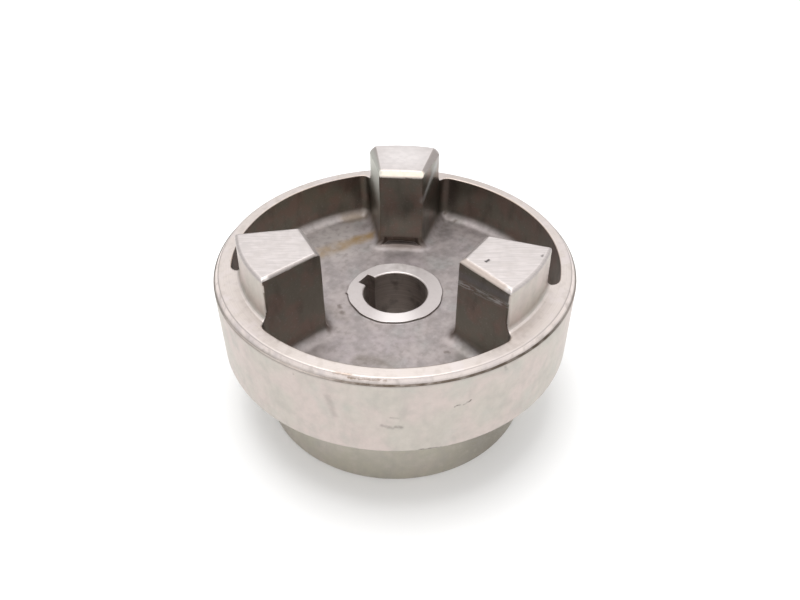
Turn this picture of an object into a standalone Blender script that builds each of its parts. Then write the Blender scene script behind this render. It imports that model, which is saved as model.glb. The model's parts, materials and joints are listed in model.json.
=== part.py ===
"""One half of a jaw coupling: a cast light-metal hub with three integral jaws, and the two set
screws that hold it on its shaft.

The origin is the centre of the boss's end face. +Z points along the bore to the jaws, and the
keyway is cut on the +Y side of the bore. All constants are in metres or degrees.
"""

import math

import bmesh
import bpy
from mathutils import Matrix, Vector

MM = 0.001
INCH = 0.0254

# Hub body, from the boss end upward.
OUTER_R = 2.0 * INCH
FLANGE_R = 51.0 * MM
BOSS_R = 40.9 * MM
BOSS_HEIGHT = 25.15 * MM
BOSS_CHAMFER = 0.5 * MM
BOSS_ROOT_R = 1.6 * MM
FLANGE_EDGE_R = 0.5 * MM
SHOULDER_Z = 48.0 * MM
SHOULDER_WIDTH = 0.85 * MM
RIM_Z = 49.5 * MM
RIM_TOP_R = 49.0 * MM

# Inside of the cup.
POCKET_R = 46.2 * MM
POCKET_CORNER_R = 3.0 * MM
FLOOR_Z = 34.8 * MM
ROOT_R = 2.9 * MM
RING_R = 14.05 * MM
RING_Z = 35.5 * MM

# Jaws, cut out of one raised disc by the cup's radial flanks.
JAW_COUNT = 3
FIRST_JAW_AZIMUTH = 30.0
JAW_HALF_ANGLE = 15.4
JAW_CORNER_R = 25.2 * MM
JAW_OUTER_FOOT_R = 43.3 * MM
JAW_OUTER_TOP_R = 43.0 * MM
JAW_OUTER_ROOT_R = 1.2 * MM
JAW_TOP_Z = 61.65 * MM
JAW_CHAMFER = 1.2 * MM

# Shaft bore and keyway.
BORE_R = 0.375 * INCH
BORE_CHAMFER = 0.3 * MM
KEYWAY_WIDTH = 3 / 16 * INCH
KEYWAY_BOTTOM_R = 11.8 * MM

# Set screws, 5/16 inch by 5/8 inch, in plain radial holes with room for the thread's crests.
SCREW_R = 5 / 32 * INCH
SCREW_LENGTH = 5 / 8 * INCH
SCREW_HOLE_R = 4.3 * MM
SCREW_Z = 12.6 * MM
SCREW_CHAMFER = 0.7 * MM
SCREW_POINT_R = 2.2 * MM
SCREW_POINT_LENGTH = 1.3 * MM
SOCKET_ACROSS_FLATS = 5 / 32 * INCH
SOCKET_DEPTH = 5.0 * MM
KEY_SCREW_TIP_R = 12.8 * MM
SIDE_SCREW_TIP_R = 10.5 * MM

# How finely round shapes are cut into flats.
HUB_SEGMENTS = 96
BORE_SEGMENTS = 64
HOLE_SEGMENTS = 28
FILLET_STEPS = 4
WALL_STEPS = 22
OVERCUT = 2.0 * MM


def clear_scene():
    for obj in list(bpy.data.objects):
        bpy.data.objects.remove(obj, do_unlink=True)


def make_material(name, color, roughness, metallic):
    material = bpy.data.materials.new(name)
    material.use_nodes = True
    shader = material.node_tree.nodes["Principled BSDF"]
    shader.inputs["Base Color"].default_value = (*color, 1.0)
    shader.inputs["Roughness"].default_value = roughness
    shader.inputs["Metallic"].default_value = metallic
    return material


def object_from(name, mesh_builder):
    """Turns a bmesh into an object, with its normals facing out and round faces shaded smooth."""
    bmesh.ops.recalc_face_normals(mesh_builder, faces=mesh_builder.faces)
    mesh = bpy.data.meshes.new(name)
    mesh_builder.to_mesh(mesh)
    mesh_builder.free()
    mesh.shade_smooth()
    mesh.set_sharp_from_angle(angle=math.radians(30))
    obj = bpy.data.objects.new(name, mesh)
    bpy.context.scene.collection.objects.link(obj)
    return obj


def arc(center, radius, start, end, steps):
    """Points on an arc, both ends included. Angles are in degrees."""
    points = []
    for step in range(steps + 1):
        angle = math.radians(start + (end - start) * step / steps)
        points.append((center[0] + radius * math.cos(angle), center[1] + radius * math.sin(angle)))
    return points


def turned(name, profile, segments):
    """A solid of revolution about Z. The profile is (radius, height), with both ends on the axis."""
    builder = bmesh.new()
    verts = [builder.verts.new((radius, 0.0, height)) for radius, height in profile]
    edges = [builder.edges.new(pair) for pair in zip(verts, verts[1:])]
    bmesh.ops.spin(
        builder,
        geom=verts + edges,
        cent=(0, 0, 0),
        axis=(0, 0, 1),
        angle=2 * math.pi,
        steps=segments,
        use_merge=True,
    )
    bmesh.ops.remove_doubles(builder, verts=builder.verts, dist=1e-6)
    return object_from(name, builder)


def as_cutter(obj):
    obj.hide_render = True
    obj.display_type = "WIRE"
    return obj


def combine(target, other, operation):
    modifier = target.modifiers.new(other.name, "BOOLEAN")
    modifier.operation = operation
    modifier.solver = "EXACT"
    modifier.object = other


def blank_profile():
    """Half section of the hub before the cup is cut: boss, flange, rim and the disc of the jaws."""
    boss_root = (BOSS_R + BOSS_ROOT_R, BOSS_HEIGHT - BOSS_ROOT_R)
    flange_edge = (FLANGE_R - FLANGE_EDGE_R, BOSS_HEIGHT + FLANGE_EDGE_R)
    jaw_root = (JAW_OUTER_FOOT_R + JAW_OUTER_ROOT_R, RIM_Z + JAW_OUTER_ROOT_R)
    return [
        (0.0, 0.0),
        (BOSS_R - BOSS_CHAMFER, 0.0),
        (BOSS_R, BOSS_CHAMFER),
        *arc(boss_root, BOSS_ROOT_R, 180, 90, FILLET_STEPS),
        *arc(flange_edge, FLANGE_EDGE_R, 270, 360, FILLET_STEPS),
        (OUTER_R, SHOULDER_Z),
        (OUTER_R - SHOULDER_WIDTH, SHOULDER_Z),
        (RIM_TOP_R, RIM_Z),
        *arc(jaw_root, JAW_OUTER_ROOT_R, 270, 180, FILLET_STEPS),
        (JAW_OUTER_TOP_R, JAW_TOP_Z - JAW_CHAMFER),
        (JAW_OUTER_TOP_R - JAW_CHAMFER, JAW_TOP_Z),
        (0.0, JAW_TOP_Z),
    ]


def half_pocket(inset):
    """The cup's plan outline beside one jaw whose middle lies on +X, drawn in by inset.

    It runs from the jaw's inner corner out along the flank and round the pocket's corner.
    """
    flank = math.radians(JAW_HALF_ANGLE)
    face_x = JAW_CORNER_R * math.cos(flank) - inset
    along = (face_x + inset * math.sin(flank)) / math.cos(flank)
    corner = (face_x, along * math.sin(flank) + inset * math.cos(flank))
    center_r = POCKET_R - POCKET_CORNER_R
    beside_flank = math.asin(POCKET_CORNER_R / center_r)
    center_angle = flank + beside_flank
    center = (center_r * math.cos(center_angle), center_r * math.sin(center_angle))
    bend = arc(
        center,
        POCKET_CORNER_R - inset,
        JAW_HALF_ANGLE - 90,
        math.degrees(center_angle),
        FILLET_STEPS,
    )
    return [corner, *bend]


def pocket_outline(inset):
    """The whole plan outline of the cup's inside, counter-clockwise."""
    side = half_pocket(inset)
    pitch = 360 / JAW_COUNT
    wall_start = math.degrees(math.atan2(side[-1][1], side[-1][0]))
    wall = arc((0, 0), POCKET_R - inset, wall_start, pitch - wall_start, WALL_STEPS)[1:-1]
    mirrored = [(x, -y) for x, y in side]
    outline = []
    for jaw in range(JAW_COUNT):
        here = Matrix.Rotation(math.radians(FIRST_JAW_AZIMUTH + pitch * jaw), 2)
        following = Matrix.Rotation(math.radians(FIRST_JAW_AZIMUTH + pitch * (jaw + 1)), 2)
        outline += [here @ Vector(point) for point in side + wall]
        outline += [following @ Vector(point) for point in reversed(mirrored)]
    return outline


def pocket_cutter():
    """The space inside the cup and between the jaws, with filleted roots and flared jaw tops."""
    levels = []
    for reach, rise in arc((0, 0), ROOT_R, -90, 0, FILLET_STEPS):
        levels.append((ROOT_R - reach, FLOOR_Z + ROOT_R + rise))
    levels.append((0.0, JAW_TOP_Z - JAW_CHAMFER))
    levels.append((-JAW_CHAMFER - OVERCUT, JAW_TOP_Z + OVERCUT))
    builder = bmesh.new()
    loops = []
    for inset, height in levels:
        loops.append([builder.verts.new((x, y, height)) for x, y in pocket_outline(inset)])
    for lower, upper in zip(loops, loops[1:]):
        for i in range(len(lower)):
            builder.faces.new((lower[i - 1], lower[i], upper[i], upper[i - 1]))
    builder.faces.new(reversed(loops[0]))
    builder.faces.new(loops[-1])
    return as_cutter(object_from("pocket_cutter", builder))


def bore_cutter():
    """A plain bore with a small chamfer at each mouth."""
    flare = BORE_CHAMFER + OVERCUT
    profile = [
        (0.0, -OVERCUT),
        (BORE_R + flare, -OVERCUT),
        (BORE_R, BORE_CHAMFER),
        (BORE_R, RING_Z - BORE_CHAMFER),
        (BORE_R + flare, RING_Z + OVERCUT),
        (0.0, RING_Z + OVERCUT),
    ]
    return as_cutter(turned("bore_cutter", profile, BORE_SEGMENTS))


def box_cutter(name, low, high):
    builder = bmesh.new()
    bmesh.ops.create_cube(builder, size=1.0)
    size = Vector(high) - Vector(low)
    bmesh.ops.scale(builder, vec=size, verts=builder.verts)
    bmesh.ops.translate(builder, vec=(Vector(high) + Vector(low)) / 2, verts=builder.verts)
    return as_cutter(object_from(name, builder))


def radial(azimuth):
    """Turns a shape drawn along +Z so that it lies along a radius at the set screws' height."""
    lay_down = Matrix.Rotation(math.radians(90), 4, "Y")
    return Matrix.Translation((0, 0, SCREW_Z)) @ Matrix.Rotation(math.radians(azimuth), 4, "Z") @ lay_down


def screw_hole_cutter(name, azimuth):
    profile = [
        (0.0, BORE_R / 2),
        (SCREW_HOLE_R, BORE_R / 2),
        (SCREW_HOLE_R, BOSS_R + OVERCUT),
        (0.0, BOSS_R + OVERCUT),
    ]
    cutter = turned(name, profile, HOLE_SEGMENTS)
    cutter.matrix_world = radial(azimuth)
    return as_cutter(cutter)


def make_hub(material):
    hub = turned("hub", blank_profile(), HUB_SEGMENTS)
    ring_profile = [(0.0, FLOOR_Z - OVERCUT), (RING_R, FLOOR_Z - OVERCUT), (RING_R, RING_Z), (0.0, RING_Z)]
    ring = as_cutter(turned("bore_ring", ring_profile, BORE_SEGMENTS))
    keyway = box_cutter(
        "keyway_cutter",
        (-KEYWAY_WIDTH / 2, 0.0, -OVERCUT),
        (KEYWAY_WIDTH / 2, KEYWAY_BOTTOM_R, RING_Z + OVERCUT),
    )
    combine(hub, pocket_cutter(), "DIFFERENCE")
    combine(hub, ring, "UNION")
    combine(hub, bore_cutter(), "DIFFERENCE")
    combine(hub, keyway, "DIFFERENCE")
    combine(hub, screw_hole_cutter("key_screw_hole_cutter", 90), "DIFFERENCE")
    combine(hub, screw_hole_cutter("side_screw_hole_cutter", 0), "DIFFERENCE")
    hub.data.materials.append(material)


def socket_cutter(name):
    """A hexagonal prism that reaches down from the screw's outer end."""
    builder = bmesh.new()
    bmesh.ops.create_cone(
        builder,
        cap_ends=True,
        segments=6,
        radius1=SOCKET_ACROSS_FLATS / math.sqrt(3),
        radius2=SOCKET_ACROSS_FLATS / math.sqrt(3),
        depth=SOCKET_DEPTH + OVERCUT,
    )
    middle = SCREW_LENGTH + (OVERCUT - SOCKET_DEPTH) / 2
    bmesh.ops.translate(builder, vec=(0, 0, middle), verts=builder.verts)
    return as_cutter(object_from(name, builder))


def make_set_screw(name, azimuth, tip_r, material):
    """A socket set screw whose own +Z runs from its point to its socket, with its origin at the point."""
    profile = [
        (0.0, 0.0),
        (SCREW_POINT_R, 0.0),
        (SCREW_R, SCREW_POINT_LENGTH),
        (SCREW_R, SCREW_LENGTH - SCREW_CHAMFER),
        (SCREW_R - SCREW_CHAMFER, SCREW_LENGTH),
        (0.0, SCREW_LENGTH),
    ]
    placement = radial(azimuth) @ Matrix.Translation((0, 0, tip_r))
    screw = turned(name, profile, HOLE_SEGMENTS)
    screw.matrix_world = placement
    socket = socket_cutter(name + "_socket_cutter")
    socket.matrix_world = placement
    combine(screw, socket, "DIFFERENCE")
    screw.data.materials.append(material)


def main():
    clear_scene()
    cast_metal = make_material("cast_light_metal", (0.60, 0.57, 0.54), 0.45, 1.0)
    black_steel = make_material("black_oxide_steel", (0.06, 0.06, 0.065), 0.5, 1.0)
    make_hub(cast_metal)
    make_set_screw("key_set_screw", 90, KEY_SCREW_TIP_R, black_steel)
    make_set_screw("side_set_screw", 0, SIDE_SCREW_TIP_R, black_steel)


main()
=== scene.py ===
"""The looks of the jaw coupling hub: a finely shaped casting with two threaded set screws.

The hub is described as a solid function, negative inside the metal and close to a distance in
metres, which is meshed on a grid that follows its round shape. The frame gives its heights, its
outside size and the screws' places. +Z is the bore's axis, and +Y points through the keyway.
"""

import json
import math

import bpy
import numpy as np
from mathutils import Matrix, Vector


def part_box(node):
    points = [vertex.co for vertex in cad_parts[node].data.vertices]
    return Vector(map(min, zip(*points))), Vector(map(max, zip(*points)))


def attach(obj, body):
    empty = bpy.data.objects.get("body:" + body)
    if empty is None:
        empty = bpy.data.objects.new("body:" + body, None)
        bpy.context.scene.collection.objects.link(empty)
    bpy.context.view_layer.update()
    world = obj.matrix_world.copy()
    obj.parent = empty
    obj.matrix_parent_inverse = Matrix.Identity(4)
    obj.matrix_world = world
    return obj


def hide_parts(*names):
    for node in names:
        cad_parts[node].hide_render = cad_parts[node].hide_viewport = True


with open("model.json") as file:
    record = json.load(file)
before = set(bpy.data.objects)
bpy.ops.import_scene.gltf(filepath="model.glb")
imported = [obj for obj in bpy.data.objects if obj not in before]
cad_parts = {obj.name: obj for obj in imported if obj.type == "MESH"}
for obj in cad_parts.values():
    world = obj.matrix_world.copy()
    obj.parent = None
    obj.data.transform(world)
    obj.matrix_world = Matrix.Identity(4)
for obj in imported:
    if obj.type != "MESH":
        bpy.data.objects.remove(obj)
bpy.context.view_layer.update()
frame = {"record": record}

MM = 0.001
INCH = 0.0254


def mount_height(name):
    found = [mount for mount in frame["record"]["mounts"] if mount["name"] == name]
    return found[0]["pos_m"][2]


# Turned shape of the hub, from the boss end upward. The corner under the rim lies higher on the
# side that STEP_HIGH_SIDE points to: it rises there over STEP_RISE_SPAN, in shares of the radius.
FLANGE_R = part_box("hub")[1].x
OUTER_R = 50.8 * MM
FLANGE_Z = 25.15 * MM
FLANGE_EDGE_R = 0.5 * MM
BOSS_R = 40.9 * MM
BOSS_EDGE_R = 0.6 * MM
BOSS_ROOT_R = 1.6 * MM
STEP_Z = 47.85 * MM
STEP_RISE = 0.4 * MM
STEP_HIGH_SIDE = (-1.0, -0.7)
STEP_RISE_SPAN = (0.5, 1.2)
STEP_R = 50.45 * MM
SHOULDER_R = 0.25 * MM
RIM_Z = mount_height("rim_face")
RIM_TOP_R = 49.25 * MM
RIM_OUTER_EDGE_R = 0.2 * MM
RIM_INNER_EDGE_R = 0.35 * MM

# A height inside the cup's floor, where the shapes that stand on the floor end.
INSIDE_Z = 30.0 * MM

# Inside of the cup.
POCKET_R = 46.0 * MM
POCKET_SHIFT = (0.3 * MM, -0.05 * MM)
POCKET_CORNER_R = 3.0 * MM
FLOOR_Z = 34.8 * MM
ROOT_R = 3.5 * MM
CAST_WAVE_HEIGHT = 0.03 * MM

# The turned ring round the bore. Its edge has waves, each with its height, its count round the ring
# and its phase, and one small nub, with its place and its width in degrees.
RING_Z = mount_height("ring_face")
RING_R = 14.05 * MM
RING_SHIFT = (0.2 * MM, 0.14 * MM)
RING_EDGE_R = 0.12 * MM
RING_ROOT_R = 0.45 * MM
RING_WAVES = ((0.12 * MM, 5, 3.7), (0.06 * MM, 13, 1.0))
RING_NUB_HEIGHT = 0.6 * MM
RING_NUB_AZIMUTH = 124.0
RING_NUB_WIDTH = 2.5

# The groove in the jaws' feet, which gets shallower and ends near their flanks.
RELIEF_R = 25.75 * MM
RELIEF_LOW = 36.2 * MM
RELIEF_CORNER_LOW = 35.8 * MM
RELIEF_HIGH = 38.25 * MM
RELIEF_HALF_WIDTH = 6.8 * MM
RELIEF_TAPER = 1.4 * MM
RELIEF_TAPER_SPAN = (-3.0 * MM, 0.2 * MM)
RELIEF_EDGE_R = 0.25 * MM

# Jaws. Their own edges begin a little above the rim, and are complete above their feet.
TOP_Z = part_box("hub")[1].z
FIRST_JAW_AZIMUTH = 30.0
JAW_PITCH = 120.0
JAW_HALF_ANGLE = 15.4
JAW_INNER_X = 24.3 * MM
JAW_FOOT_R = 43.3 * MM
JAW_HEAD_R = 43.0 * MM
JAW_FOOT_FILLET = 1.3 * MM
JAW_FOOT_START = 0.3 * MM
JAW_FOOT_HEIGHT = 3.0 * MM
JAW_CORNER_REACH = 2.0 * MM
JAW_INNER_EDGE_R = 0.45 * MM
JAW_TOP_EDGE_R = 0.25 * MM
FLANK_EDGE_R = 0.25 * MM
# For each jaw: its turn from its even place in degrees, the chamfer at its inner top edge, the
# rounding of its outer top edge and its outer corners, and the chamfers along the top edges of its
# two flanks, the one on the clockwise side first, each at its inner and its outer end.
JAW_TURN = np.array((0.0, 0.3, -0.7))
JAW_INNER_CHAMFER = np.array((1.65, 1.35, 1.4)) * MM
JAW_OUTER_TOP_R = np.array((0.8, 1.1, 1.2)) * MM
JAW_CORNER_R = np.array((1.3, 1.1, 1.1)) * MM
FLANK_CHAMFER_INNER = np.array(((0.7, 0.9, 1.2), (0.6, 0.5, 0.8))) * MM
FLANK_CHAMFER_OUTER = np.array(((2.1, 0.5, 0.9), (2.1, 0.6, 0.6))) * MM

# The direction in which the jaws' ends were ground.
GRINDING_AZIMUTH = 124.0

# Bore, keyway and set screw holes.
BORE_R = 0.375 * INCH
BORE_CHAMFER = 0.3 * MM
BORE_EDGE_R = 0.1 * MM
KEYWAY_WIDTH = 3 / 16 * INCH
KEYWAY_BOTTOM_R = 11.8 * MM
SCREW_Z = (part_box("key_set_screw")[0].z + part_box("key_set_screw")[1].z) / 2
HOLE_R = 4.6 * MM
HOLE_CHAMFER = 0.7 * MM
HOLE_EDGE_R = 0.12 * MM

# Set screws, 5/16-18 thread. The flats on a thread's crests and at its roots are shares of its pitch.
THREAD_PITCH = INCH / 18
CREST_FLAT = 1 / 8
ROOT_FLAT = 1 / 4
THREAD_DEPTH = 0.6134 * THREAD_PITCH
SCREW_R = (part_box("key_set_screw")[1].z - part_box("key_set_screw")[0].z) / 2
SCREW_CHAMFER = 0.7 * MM
POINT_R = 2.2 * MM
POINT_LENGTH = 1.3 * MM
POINT_CUP_R = 1.5 * MM
POINT_CUP_DEPTH = 0.6 * MM
SOCKET_HALF_WIDTH = 5 / 64 * INCH
SOCKET_DEPTH = 5.0 * MM
SOCKET_CONE = 0.8 * MM
SOCKET_EDGE = 0.12 * MM

# The holes' threads are thin sleeves: their radius at the crests and on the outside, and how far
# from the hub's axis they start and end.
HOLE_THREAD_R = 4.07 * MM
SLEEVE_R = 4.75 * MM
KEY_SLEEVE_START = 12.3 * MM
SIDE_SLEEVE_START = 10.0 * MM
SLEEVE_END = 40.1 * MM


# ---------------- the hub's solid function


def cut_round(a, b, radius):
    """The space inside both a and b, with their shared edge rounded."""
    outside = np.hypot(np.maximum(a + radius, 0), np.maximum(b + radius, 0))
    return np.minimum(np.maximum(a, b), -radius) + outside


def join_round(a, b, radius):
    """The space inside a or b, with a fillet where they meet."""
    return -cut_round(-a, -b, radius)


def ramp(x, start, end):
    """A smooth rise from 0 at start to 1 at end."""
    share = np.clip((x - start) / (end - start), 0, 1)
    return share * share * (3 - 2 * share)


def cast_unevenness(x, y, z):
    """Slow waves of a few hundredths of a millimetre, from 0 upward, as a casting has."""
    waves = np.sin(x / (3.1 * MM) + 1.3 * np.sin(z / (4.3 * MM)))
    waves = waves * np.sin(y / (3.7 * MM) + 1.1 * np.sin(x / (5.9 * MM)))
    waves = waves + 0.6 * np.sin(z / (2.9 * MM) + y / (4.9 * MM) + x / (7.3 * MM))
    return CAST_WAVE_HEIGHT * (1 + waves / 1.6)


def step_height(x, y, radius):
    """The height of the corner under the turned rim."""
    side = (STEP_HIGH_SIDE[0] * x + STEP_HIGH_SIDE[1] * y) / radius
    return STEP_Z + STEP_RISE * ramp(side, *STEP_RISE_SPAN)


def nearest_jaw(x, y):
    """Which jaw a point is nearest to, and where it lies along and across that jaw's middle line."""
    azimuth = np.degrees(np.arctan2(y, x))
    jaw = np.round((azimuth - FIRST_JAW_AZIMUTH) / JAW_PITCH).astype(int) % len(JAW_TURN)
    turn = np.radians(FIRST_JAW_AZIMUTH + JAW_PITCH * jaw + JAW_TURN[jaw])
    along = x * np.cos(turn) + y * np.sin(turn)
    across = y * np.cos(turn) - x * np.sin(turn)
    return jaw, along, across


def outer_solid(x, y, z, radius, jaw):
    """The turned outside with the disc that the jaws are cut from, and that disc's side alone."""
    boss = cut_round(radius - BOSS_R, -z, BOSS_EDGE_R)
    draft = (FLANGE_R - OUTER_R) / (STEP_Z - FLANGE_Z)
    wall = radius - FLANGE_R + draft * (z - FLANGE_Z)
    trunk = join_round(boss, cut_round(wall, FLANGE_Z - z, FLANGE_EDGE_R), BOSS_ROOT_R)
    slope = (STEP_R - RIM_TOP_R) / (RIM_Z - STEP_Z)
    rim_side = (radius - STEP_R + slope * (z - STEP_Z)) / math.hypot(1, slope)
    rim = np.maximum(cut_round(rim_side, z - RIM_Z, RIM_OUTER_EDGE_R), trunk)
    cup = np.minimum(cut_round(trunk, z - step_height(x, y, radius), SHOULDER_R), rim)
    lean = (JAW_FOOT_R - JAW_HEAD_R) / (TOP_Z - RIM_Z)
    side = radius - JAW_FOOT_R + lean * (z - RIM_Z)
    disc = cut_round(side, z - TOP_Z, JAW_OUTER_TOP_R[jaw])
    disc = np.maximum(disc, INSIDE_Z - z)
    return join_round(cup, disc, JAW_FOOT_FILLET), side


def ring_edge(azimuth):
    """How far the turned ring's edge runs out past its radius."""
    from_nub = (np.degrees(azimuth) - RING_NUB_AZIMUTH) / RING_NUB_WIDTH
    edge = RING_NUB_HEIGHT * np.exp(-(from_nub**2))
    for height, count, phase in RING_WAVES:
        edge = edge + height * np.sin(count * azimuth + phase)
    return edge


def hub_solid(x, y, z):
    """The whole hub: negative inside the metal, and close to the distance in metres."""
    radius = np.hypot(x, y)
    jaw, along, across = nearest_jaw(x, y)
    outside, jaw_side = outer_solid(x, y, z, radius, jaw)
    half_angle = math.radians(JAW_HALF_ANGLE)
    flank = np.abs(across) * math.cos(half_angle) - along * math.sin(half_angle)
    jaw_plan = cut_round(flank, JAW_INNER_X - along, JAW_INNER_EDGE_R)
    pocket_r = np.hypot(x - POCKET_SHIFT[0], y - POCKET_SHIFT[1])
    pocket_plan = cut_round(pocket_r - POCKET_R, -jaw_plan, POCKET_CORNER_R)
    pocket = cut_round(pocket_plan, FLOOR_Z - z, ROOT_R) - cast_unevenness(x, y, z)

    # The edge between the pocket and the outside is small at the rim and on top of the jaws, and
    # larger at the jaws' outer corners.
    on_jaw = ramp(z, RIM_Z + JAW_FOOT_START, RIM_Z + JAW_FOOT_HEIGHT)
    at_side = ramp(jaw_side - (z - TOP_Z), 0, JAW_CORNER_REACH)
    corner = JAW_CORNER_R[jaw] * at_side + JAW_TOP_EDGE_R * (1 - at_side)
    edge_r = RIM_INNER_EDGE_R * (1 - on_jaw) + corner * on_jaw
    solid = cut_round(outside, -pocket, edge_r)

    # Chamfers round the jaws' tops.
    rise = z - TOP_Z
    inner = (rise + JAW_INNER_CHAMFER[jaw] - (along - JAW_INNER_X)) / math.sqrt(2)
    outward = np.clip((along - JAW_INNER_X) / (JAW_HEAD_R - JAW_INNER_X), 0, 1)
    near = FLANK_CHAMFER_INNER[(across > 0).astype(int), jaw]
    far = FLANK_CHAMFER_OUTER[(across > 0).astype(int), jaw]
    beside = (rise + near + (far - near) * outward + flank) / math.sqrt(2)
    above_cup = z - (RIM_Z + JAW_FOOT_HEIGHT)
    solid = cut_round(solid, np.minimum(inner, above_cup), JAW_TOP_EDGE_R)
    solid = cut_round(solid, np.minimum(beside, above_cup), FLANK_EDGE_R)

    # A turned groove cuts into the feet of the jaws.
    share = np.clip(across / RELIEF_HALF_WIDTH, -1, 1)
    relief_low = RELIEF_LOW - (RELIEF_LOW - RELIEF_CORNER_LOW) * share * share
    relief_r = RELIEF_R - RELIEF_TAPER * ramp(flank, *RELIEF_TAPER_SPAN)
    relief = np.maximum(radius - relief_r, np.maximum(z - RELIEF_HIGH, relief_low - z))
    solid = cut_round(solid, -relief, RELIEF_EDGE_R)

    # The faced ring round the bore, the bore and its keyway.
    ring_r = np.hypot(x - RING_SHIFT[0], y - RING_SHIFT[1]) - ring_edge(np.arctan2(y, x))
    ring = np.maximum(cut_round(ring_r - RING_R, z - RING_Z, RING_EDGE_R), INSIDE_Z - z)
    solid = join_round(solid, ring, RING_ROOT_R)
    past_bore = radius - BORE_R - BORE_CHAMFER
    bore_top = np.maximum((past_bore - (z - RING_Z)) / math.sqrt(2), radius - RING_R)
    bore_bottom = (past_bore + z) / math.sqrt(2)
    bore = np.minimum(radius - BORE_R, np.minimum(bore_top, bore_bottom))
    solid = cut_round(solid, -bore, BORE_EDGE_R)
    keyway = np.maximum(np.abs(x) - KEYWAY_WIDTH / 2, np.maximum(y - KEYWAY_BOTTOM_R, -y))
    solid = cut_round(solid, -keyway, BORE_EDGE_R)

    # The two set screw holes.
    for forward, sideways in ((y, x), (x, y)):
        hole = np.hypot(sideways, z - SCREW_Z) - HOLE_R
        mouth = (hole - np.minimum(forward - (BOSS_R - HOLE_CHAMFER), HOLE_CHAMFER)) / math.sqrt(2)
        opening = np.maximum(np.minimum(hole, mouth), -forward)
        solid = cut_round(solid, -opening, HOLE_EDGE_R)
    return solid


# ---------------- meshing

# The grid's reach, the samples its lines are placed with, the azimuths worked on at a time, and the
# spacing: close at edges and fillets, wide elsewhere, and how fast it grows between the two. Radii
# and heights are in millimetres, and azimuths in degrees.
GRID_RADII = (8.0, 52.0)
GRID_HEIGHTS = (-0.6, 62.3)
GRID_SAMPLES = 20001
SLAB = 16
LINE_SPACING = (0.27, 2.4, 0.55)
AZIMUTH_SPACING = (0.5, 2.4, 0.33)

# Where edges and fillets are: bore, keyway, ring and jaws' inner ends, boss, jaws' outer sides, cup
# wall and rim, then the heights of all these, and the azimuths of the keyway and the screw holes.
RADIAL_FEATURES = ((9.4, 9.9), (11.7, 11.9), (13.8, 14.3), (24.2, 25.8))
RADIAL_FEATURES += ((40.2, 41.0), (42.0, 44.4), (46.0, 46.5), (48.9, 51.1))
UPWARD_FEATURES = ((0, 0.6), (7.3, 8.1), (17.1, 17.9), (23.6, 25.7))
UPWARD_FEATURES += ((34.7, 35.6), (35.9, 38.6), (47.7, 50.6), (59.5, 61.7))
AZIMUTH_FEATURES = ((-1, 1), (89, 91), (6.2, 7.6), (-7.6, -6.2))
AZIMUTH_FEATURES += ((82.4, 83.8), (96.2, 97.6), (101.4, 104.6), (75.4, 78.6))
FLANK_REACH = 1.0

# Settling the vertices on the surface: how often, the farthest that one may move at a time, the
# reach over which slopes are measured, and the least squared slope that is divided by.
SETTLE_ROUNDS = 5
SETTLE_MOVE = 0.2 * MM
SLOPE_REACH = 0.01 * MM
LEAST_SQUARED_SLOPE = 0.2


def graded_lines(low, high, features, fine, coarse, growth):
    """Grid lines from low to high, fine inside each feature's span and coarser away from them."""
    samples = np.linspace(low, high, GRID_SAMPLES)
    gaps = [np.maximum(np.maximum(start - samples, samples - end), 0) for start, end in features]
    step = np.minimum(fine + growth * np.min(gaps, axis=0), coarse)
    count = np.concatenate([[0], np.cumsum(np.diff(samples) * (1 / step[1:] + 1 / step[:-1]) / 2)])
    return np.interp(np.linspace(0, count[-1], int(count[-1]) + 2), count, samples)


def grid_values(radii, azimuths, heights):
    """The hub's solid function on the grid, one slab of azimuths at a time."""
    values = np.empty((len(radii), len(azimuths), len(heights)), np.float32)
    for start in range(0, len(azimuths), SLAB):
        part = slice(start, start + SLAB)
        r, a, z = np.meshgrid(radii, azimuths[part], heights, indexing="ij")
        values[:, part] = hub_solid(r * np.cos(a), r * np.sin(a), z)
    return values


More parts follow.
